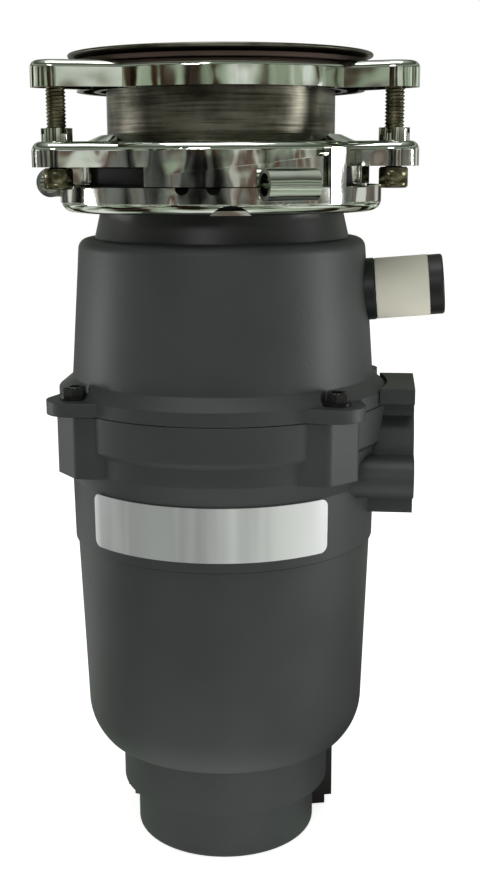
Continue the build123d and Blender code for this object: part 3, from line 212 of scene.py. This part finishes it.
world = bpy.data.worlds.new("studio_room")
world.use_nodes = True
room = world.node_tree
seen = room.nodes["Background"]
seen.inputs["Color"].default_value = linear(floor_white)
place = add_node(room, "ShaderNodeTexCoord")
rise = add_node(room, "ShaderNodeSeparateXYZ", [(place.outputs["Generated"], "Vector")])
columns = add_node(room, "ShaderNodeMapping", [(place.outputs["Generated"], "Vector")],
                   Scale=(room_patch, room_patch, room_patch / 2))
clutter = add_node(room, "ShaderNodeTexNoise", [(columns.outputs["Vector"], "Vector")], Scale=1.0,
                   Detail=room_patch_detail)
wall = add_node(room, "ShaderNodeValToRGB", [(clutter.outputs["Fac"], "Fac")])
set_ramp(wall, wall_shades)
table = add_node(room, "ShaderNodeValToRGB", [(clutter.outputs["Fac"], "Fac")])
set_ramp(table, table_shades)
ceiling = add_node(room, "ShaderNodeValToRGB", [(rise.outputs["Z"], "Fac")])
set_ramp(ceiling, ceiling_shades)
edge = add_node(room, "ShaderNodeMapRange", [(rise.outputs["Z"], "Value")],
                From_Min=table_edge[0], From_Max=table_edge[1])
lower = add_node(room, "ShaderNodeMix", [(edge.outputs["Result"], "Factor")], data_type="RGBA")
room.links.new(table.outputs["Color"], lower.inputs["A"])
room.links.new(wall.outputs["Color"], lower.inputs["B"])
cornice = add_node(room, "ShaderNodeMapRange", [(rise.outputs["Z"], "Value")],
                   From_Min=wall_cornice[0], From_Max=wall_cornice[1])
whole = add_node(room, "ShaderNodeMix", [(cornice.outputs["Result"], "Factor")], data_type="RGBA")
room.links.new(lower.outputs["Result"], whole.inputs["A"])
room.links.new(ceiling.outputs["Color"], whole.inputs["B"])
walls = add_node(room, "ShaderNodeBackground", [(whole.outputs["Result"], "Color")])
path = add_node(room, "ShaderNodeLightPath")
choice = add_node(room, "ShaderNodeMixShader", [(path.outputs["Is Camera Ray"], 0),
                                                (walls.outputs["Background"], 1),
                                                (seen.outputs["Background"], 2)])
room.links.new(choice.outputs["Shader"], room.nodes["World Output"].inputs["Surface"])
bpy.context.scene.world = world
bpy.context.scene.view_settings.view_transform = "Standard"


# Outer housings and base: glass-filled nylon moulded in charcoal and held together by flange
# screws. The mould was eroded, so a fine even grain breaks the light into a soft sheen.
charcoal = "323637"
charcoal_shade = "2D3031"
charcoal_roughness = 0.5
charcoal_grain = 0.35
# An eroded grain is typically some 0.3 mm, too fine to show, so it is drawn at 1.1 mm
grain_size = 0.0011
grain_height = 0.0002
grain_detail = 3.0
mottle_size = 0.035
mottle_detail = 2.0
mottle_range = (0.35, 0.65)
edge_round = 0.0007
edge_samples = 4


def grained(name, light_colour, dark_colour, roughness, depth, metallic=0.0):
    """A grained surface: two close tones in broad patches, edges broken by a small round, fine pits."""
    material, tree, shader = finish(name, light_colour, roughness, metallic)
    place = add_node(tree, "ShaderNodeTexCoord")
    patches = add_node(tree, "ShaderNodeTexNoise", [(place.outputs["Object"], "Vector")],
                       Scale=1 / mottle_size, Detail=mottle_detail)
    tones = add_node(tree, "ShaderNodeValToRGB", [(patches.outputs["Fac"], "Fac")])
    set_ramp(tones, list(zip(mottle_range, (dark_colour, light_colour))))
    tree.links.new(tones.outputs["Color"], shader.inputs["Base Color"])
    pits = add_node(tree, "ShaderNodeTexNoise", [(place.outputs["Object"], "Vector")],
                    Scale=1 / grain_size, Detail=grain_detail)
    edges = add_node(tree, "ShaderNodeBevel", samples=edge_samples, Radius=edge_round)
    bump = add_node(tree, "ShaderNodeBump", [(pits.outputs["Fac"], "Height"),
                                             (edges.outputs["Normal"], "Normal")],
                    Strength=depth, Distance=grain_height)
    tree.links.new(bump.outputs["Normal"], shader.inputs["Normal"])
    return material


def coat(material, *names):
    """Give CAD nodes a material in all their slots."""
    for name in names:
        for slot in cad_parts[name].material_slots:
            slot.material = material


charcoal_nylon = grained("grained_charcoal_nylon", charcoal, charcoal_shade, charcoal_roughness,
                         charcoal_grain)
coat(charcoal_nylon, "bottom_cap", "motor_casing", "drain_housing", "hopper_housing")


# Inner hopper, inlet, plug and covers: the same nylon moulded in black, clamped by the outer
# housings or screwed on. The mould is smoother, so its edges catch a tighter light.
nylon_black = "191A1B"
nylon_black_shade = "131415"
nylon_black_roughness = 0.42
nylon_black_grain = 0.12

black_nylon = grained("smooth_black_nylon", nylon_black, nylon_black_shade, nylon_black_roughness,
                      nylon_black_grain)
coat(black_nylon, "grind_hopper", "dishwasher_inlet", "knockout_plug", "terminal_cover",
     "overload_protector", "rectifier", "brush_holders")


# Chrome rings: die-cast and pressed rings, polished, plated and clamped by the mounting screws.
# They are slightly wavy like all castings, with a faint haze where fingers have been.
chrome_colour = "D8DCD4"
chrome_roughness = 0.05
wave_size = 0.014
wave_height = 0.0012
wave_depth = 0.45
wave_detail = 1.0
haze_size = 0.02
haze_detail = 4.0
haze_range = (0.3, 0.7)
haze_roughness = (0.03, 0.12)

chrome, tree, shader = finish("polished_chrome_plate", chrome_colour, chrome_roughness, 1.0)
place = add_node(tree, "ShaderNodeTexCoord")
waves = add_node(tree, "ShaderNodeTexNoise", [(place.outputs["Object"], "Vector")],
                 Scale=1 / wave_size, Detail=wave_detail)
bump = add_node(tree, "ShaderNodeBump", [(waves.outputs["Fac"], "Height")], Strength=wave_depth,
                Distance=wave_height)
tree.links.new(bump.outputs["Normal"], shader.inputs["Normal"])
haze = add_node(tree, "ShaderNodeTexNoise", [(place.outputs["Object"], "Vector")],
                Scale=1 / haze_size, Detail=haze_detail)
hazed = add_node(tree, "ShaderNodeMapRange", [(haze.outputs["Fac"], "Value")],
                 From_Min=haze_range[0], From_Max=haze_range[1],
                 To_Min=haze_roughness[0], To_Max=haze_roughness[1])
tree.links.new(hazed.outputs["Result"], shader.inputs["Roughness"])
coat(chrome, "backup_ring", "mounting_ring", "lock_ring")


# Stainless sleeve and grinding parts: drawn and turned, so the brush lines run round the axis,
# with the dull brown mottle of steel that has been handled. The lines are coarsened to 1 mm.
steel_colour = "7F7C70"
steel_shade = "47443B"
steel_roughness = 0.36
brush_line = 0.001
brush_length = 0.03
brush_detail = 3.0
brush_depth = 0.25
brush_height = 0.0002
stain_size = 0.012
stain_detail = 5.0
stain_range = (0.16, 0.34)

steel, tree, shader = finish("round_brushed_stainless", steel_colour, steel_roughness, 1.0)
place = add_node(tree, "ShaderNodeTexCoord")
stretch = add_node(tree, "ShaderNodeMapping", [(place.outputs["Object"], "Vector")],
                   Scale=(1 / brush_length, 1 / brush_length, 1 / brush_line))
lines = add_node(tree, "ShaderNodeTexNoise", [(stretch.outputs["Vector"], "Vector")], Scale=1.0,
                 Detail=brush_detail)
stains = add_node(tree, "ShaderNodeTexNoise", [(place.outputs["Object"], "Vector")],
                  Scale=1 / stain_size, Detail=stain_detail)
mottle = add_node(tree, "ShaderNodeMath", [(lines.outputs["Fac"], 0), (stains.outputs["Fac"], 1)],
                  operation="MULTIPLY")
tones = add_node(tree, "ShaderNodeValToRGB", [(mottle.outputs["Value"], "Fac")])
set_ramp(tones, list(zip(stain_range, (steel_shade, steel_colour))))
tree.links.new(tones.outputs["Color"], shader.inputs["Base Color"])
bump = add_node(tree, "ShaderNodeBump", [(lines.outputs["Fac"], "Height")], Strength=brush_depth,
                Distance=brush_height)
tree.links.new(bump.outputs["Normal"], shader.inputs["Normal"])
coat(steel, "sink_flange", "grind_ring", "turntable", "impeller_1", "impeller_2", "impeller_pins")


# Mounting screws: steel with rolled threads, plated and passivated yellow, with a slotted head
# underneath. They run up through the mounting ring's ears and push the backup ring to the sink.
thread_pitch = 0.00125
thread_depth = 0.0006
thread_radius = 0.00355
head_radius = 0.0052
head_height = 0.0074
head_bevel = 0.00065
slot_half = 0.00075
slot_depth = 0.0022
screw_sides = 32
rows_per_pitch = 6
zinc_middle = "767058"
zinc_light = "857F68"
zinc_dark = "544F3C"
zinc_roughness = 0.3
zinc_film_size = 0.004
zinc_film_detail = 3.0
zinc_film_range = (0.35, 0.65)

yellow_zinc, tree, shader = finish("yellow_passivated_zinc", zinc_middle, zinc_roughness, 1.0)
place = add_node(tree, "ShaderNodeTexCoord")
films = add_node(tree, "ShaderNodeTexNoise", [(place.outputs["Object"], "Vector")],
                 Scale=1 / zinc_film_size, Detail=zinc_film_detail)
tones = add_node(tree, "ShaderNodeValToRGB", [(films.outputs["Fac"], "Fac")])
set_ramp(tones, list(zip(zinc_film_range, (zinc_dark, zinc_light))))
tree.links.new(tones.outputs["Color"], shader.inputs["Base Color"])


def wrapped(rows, sides, start=0):
    """Faces of a grid that closes round its columns, with a flat cap on its first and last row."""
    r, c = np.meshgrid(np.arange(rows - 1), np.arange(sides), indexing="ij")
    across = (c + 1) % sides
    quads = np.stack([r * sides + c, r * sides + across, (r + 1) * sides + across,
                      (r + 1) * sides + c], axis=-1).reshape(-1, 4) + start
    first = (np.arange(sides)[::-1] + start).tolist()
    last = (np.arange(sides) + (rows - 1) * sides + start).tolist()
    return quads.tolist() + [first, last]


def upright(centre, radii, heights, angles):
    """Points of a round grid about an upright line, row by row. Each lies its radius times the
    angle's cosine and sine away from the line, at its row's height."""
    radii = np.broadcast_to(radii, (len(heights), len(angles)))
    points = np.stack([centre[0] + radii * np.cos(angles), centre[1] + radii * np.sin(angles),
                       np.broadcast_to(np.asarray(heights)[:, None], radii.shape)], axis=-1)
    return points.reshape(-1, 3)


for number in (1, 2, 3):
    low, high = (np.array(corner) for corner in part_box(f"mounting_screw_{number}"))
    centre = (low + high)[:2] / 2
    head_top = low[2] + head_height
    angles = np.linspace(0, 2 * math.pi, screw_sides, endpoint=False)
    # The thread's radius rises and falls once in each pitch, and its phase turns with the angle,
    # so that it winds upwards. It runs out over its first and last pitch.
    heights = np.arange(head_top, high[2], thread_pitch / rows_per_pitch)
    phase = (heights[:, None] - head_top) / thread_pitch - angles[None, :] / (2 * math.pi)
    crest = 1 - 2 * np.abs(phase % 1.0 - 0.5)
    ends = np.clip(np.minimum(heights - head_top, high[2] - heights) / thread_pitch, 0.0, 1.0)
    radii = thread_radius - thread_depth + thread_depth * crest * ends[:, None]
    points = upright(centre, radii, heights, angles)
    faces = wrapped(len(heights), screw_sides)
    # The head above the slot, then the two halves beside the slot
    slot_top = low[2] + slot_depth
    head_heights = [slot_top, head_top - head_bevel, head_top]
    head_radii = np.array([[head_radius], [head_radius], [head_radius - head_bevel]])
    faces += wrapped(len(head_heights), screw_sides, len(points))
    points = np.vstack([points, upright(centre, head_radii, head_heights, angles)])
    outward = centre / np.linalg.norm(centre)
    along = math.atan2(outward[1], outward[0])
    open_angle = math.asin(slot_half / head_radius)
    half_heights = [low[2], low[2] + head_bevel, slot_top + head_bevel]
    half_radii = np.array([[head_radius - head_bevel], [head_radius], [head_radius]])
    for side in (1, -1):
        arc = along + side * np.linspace(open_angle, math.pi - open_angle, screw_sides // 2)
        arc = arc[::side]
        faces += wrapped(len(half_heights), len(arc), len(points))
        points = np.vstack([points, upright(centre, half_radii, half_heights, arc)])
    screw = surface(f"threaded_mounting_screw_{number}", points, faces)
    screw.data.materials.append(yellow_zinc)
    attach(screw, f"screw_{number}")
    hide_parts(f"mounting_screw_{number}")


# Flange screws: forged steel, blackened and oiled, with a hex head on a washer and a six-lobed
# recess. They hold the two housings together through the four ears, and shine in small spots.
washer_radius = 0.0054
washer_height = 0.0009
hex_radius = 0.0042
head_rise = 0.0046
crown_rise = 0.00046
crown_share = 0.93
recess_radius = 0.0021
recess_lobe = 0.0003
recess_lobes = 6
recess_depth = 0.0022
shank_radius = 0.0023
hex_sides = 72
ear_circle = 0.0645
ear_azimuths = [46.0, 129.0, 226.0, -51.0]
oiled_black = "161617"
oil_roughness = 0.24
oil_patch = 0.01 / 3
oil_patch_detail = 2.0
oil_roughness_range = (0.14, 0.38)

# The black oxide hides the metal, so this isn't drawn as a metal
black_steel, tree, shader = finish("black_oiled_steel", oiled_black, oil_roughness)
place = add_node(tree, "ShaderNodeTexCoord")
films = add_node(tree, "ShaderNodeTexNoise", [(place.outputs["Object"], "Vector")],
                 Scale=1 / oil_patch, Detail=oil_patch_detail)
hazed = add_node(tree, "ShaderNodeMapRange", [(films.outputs["Fac"], "Value")],
                 To_Min=oil_roughness_range[0], To_Max=oil_roughness_range[1])
tree.links.new(hazed.outputs["Result"], shader.inputs["Roughness"])
coat(black_steel, "cover_screws", "cap_screws")

low, high = (np.array(corner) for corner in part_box("housing_screws"))
seat = high[2] - head_rise
angles = np.linspace(0, 2 * math.pi, hex_sides, endpoint=False)
# A hexagon's radius is its flats' distance over the cosine of the angle from the nearest flat's
# middle
sixth = math.pi / 3
flat_distance = hex_radius * math.cos(sixth / 2)
flats = flat_distance / np.cos((angles + sixth / 2) % sixth - sixth / 2)
lobes = recess_radius + recess_lobe * np.cos(recess_lobes * angles)
even = np.ones(hex_sides)
profile = [
    (shank_radius * even, low[2]),
    (shank_radius * even, seat),
    (washer_radius * even, seat),
    (washer_radius * even, seat + washer_height),
    (flats, seat + washer_height),
    (flats, high[2] - crown_rise),
    (crown_share * flat_distance * even, high[2]),
    (lobes, high[2]),
    (lobes, high[2] - recess_depth),
]
rings = np.array([radii for radii, _ in profile])
levels = [height for _, height in profile]
points = np.zeros((0, 3))
faces = []
for azimuth in ear_azimuths:
    toward = math.radians(azimuth)
    ear = ear_circle * np.array([math.sin(toward), -math.cos(toward)])
    faces += wrapped(len(profile), hex_sides, len(points))
    points = np.vstack([points, upright(ear, rings, levels, angles)])
screws = surface("lobed_flange_screws", points, faces, smooth=False)
screws.data.materials.append(black_steel)
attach(screws, "disposer")
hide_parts("housing_screws")


# Motor can, bells, shaft, core, bearings, springs, nut and wire ring: plain steel, pressed,
# turned or coiled and left bare, so that it shines softly and evenly.
bare_steel = "8C8C8A"
bare_steel_shade = "7C7C78"
bare_steel_roughness = 0.4
bare_steel_grain = 0.1

plain_steel = grained("machined_steel", bare_steel, bare_steel_shade, bare_steel_roughness,
                      bare_steel_grain, metallic=1.0)
coat(plain_steel, "upper_end_bell", "lower_end_bell", "motor_can", "rotor_shaft", "armature_core",
     "upper_bearing", "lower_bearing", "brush_springs", "turntable_nut", "snap_ring")


# Magnets and brushes: ferrite arcs glued in the can and carbon blocks in their holders. Both are
# pressed from powder and sintered, which leaves them near black and dull.
ferrite_black = "2B2B2D"
ferrite_shade = "232325"
ferrite_roughness = 0.7
ferrite_grain = 0.3

ferrite = grained("sintered_ferrite", ferrite_black, ferrite_shade, ferrite_roughness, ferrite_grain)
coat(ferrite, "stator_magnets", "brushes")


# Windings and commutator: copper wire wound on the core's slots and varnished, and copper bars.
# The wires are drawn 1.6 mm apart, coarse enough to show.
copper_colour = "B06A3C"
copper_roughness = 0.35
wire_spacing = 0.0015708
wire_waver = 2.0
wire_depth = 0.5
wire_height = 0.0003
band_period = math.pi / 10

copper, tree, shader = finish("varnished_copper_wire", copper_colour, copper_roughness, 1.0)
place = add_node(tree, "ShaderNodeTexCoord")
wires = add_node(tree, "ShaderNodeTexWave", [(place.outputs["Object"], "Vector")],
                 Scale=band_period / wire_spacing, bands_direction="Z", Distortion=wire_waver)
bump = add_node(tree, "ShaderNodeBump", [(wires.outputs["Fac"], "Height")], Strength=wire_depth,
                Distance=wire_height)
tree.links.new(bump.outputs["Normal"], shader.inputs["Normal"])
coat(copper, "armature_windings", "commutator")


# Cushion mount, splash guard, seals and cord bushing: black rubber, moulded and pressed into
# place, with a matt skin that hardly shines.
rubber_black = "1C1C1C"
rubber_shade = "161616"
rubber_roughness = 0.75
rubber_grain = 0.25

rubber = grained("moulded_black_rubber", rubber_black, rubber_shade, rubber_roughness, rubber_grain)
coat(rubber, "cushion_mount", "splash_guard", "chamber_seal", "shaft_seal", "cord_bushing")


# Nameplate: a thin aluminium plate, brushed up and down and bent round the casing, left bare. Its
# brushed sheen is painted into the colour as soft bands of light and dark, about 24 mm apart.
plate_sheen_light = "E4E5E6"
plate_sheen_dark = "B4B6B8"
plate_roughness = 0.34
plate_metallic = 0.5
sheen_band_width = 0.024
sheen_band_length = 0.4
sheen_band_detail = 3.0
sheen_band_range = (0.42, 0.55)

# The brushed face scatters light like paint as well as mirroring it, so it is drawn half metal
aluminium, tree, shader = finish("satin_brushed_aluminium", plate_sheen_light, plate_roughness,
                                 plate_metallic)
place = add_node(tree, "ShaderNodeTexCoord")
# Painted sheen: noise stretched up and down mixes a lighter and a darker tone in bands across the plate,
# in place of its brushed reflections
stretch = add_node(tree, "ShaderNodeMapping", [(place.outputs["Object"], "Vector")],
                   Scale=(1 / sheen_band_width, 1 / sheen_band_length, 1 / sheen_band_length))
painted_sheen_bands = add_node(tree, "ShaderNodeTexNoise", [(stretch.outputs["Vector"], "Vector")], Scale=1.0,
                   Detail=sheen_band_detail)
tones = add_node(tree, "ShaderNodeValToRGB", [(painted_sheen_bands.outputs["Fac"], "Fac")])
set_ramp(tones, list(zip(sheen_band_range, (plate_sheen_dark, plate_sheen_light))))
tree.links.new(tones.outputs["Color"], shader.inputs["Base Color"])
coat(aluminium, "nameplate")


# Inlet label: a sleeve of cream paper glued round the dishwasher inlet, left bare. Paper has no
# gloss, only a faint tooth.
paper_cream = "D2CFC2"
paper_shade = "C9C6B8"
paper_roughness = 0.85
paper_grain = 0.15

paper = grained("cream_paper", paper_cream, paper_shade, paper_roughness, paper_grain)
coat(paper, "inlet_label")


# Gasket under the sink: brown fibre board, pressed and punched, held by the backup ring. It is
# dull, with a coarse felted face.
fibre_brown = "46342C"
fibre_shade = "33261F"
fibre_roughness = 0.85
fibre_grain = 0.5

fibre = grained("pressed_fibre", fibre_brown, fibre_shade, fibre_roughness, fibre_grain)
coat(fibre, "fibre_gasket")


# Reset button: red plastic from a polished mould, sprung in the base's hole, with a clear gloss.
button_red = "B0201C"
button_shade = "A81E1A"
button_roughness = 0.3
button_grain = 0.05

red_plastic = grained("glossy_red_plastic", button_red, button_shade, button_roughness, button_grain)
coat(red_plastic, "reset_button")


low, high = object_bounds()
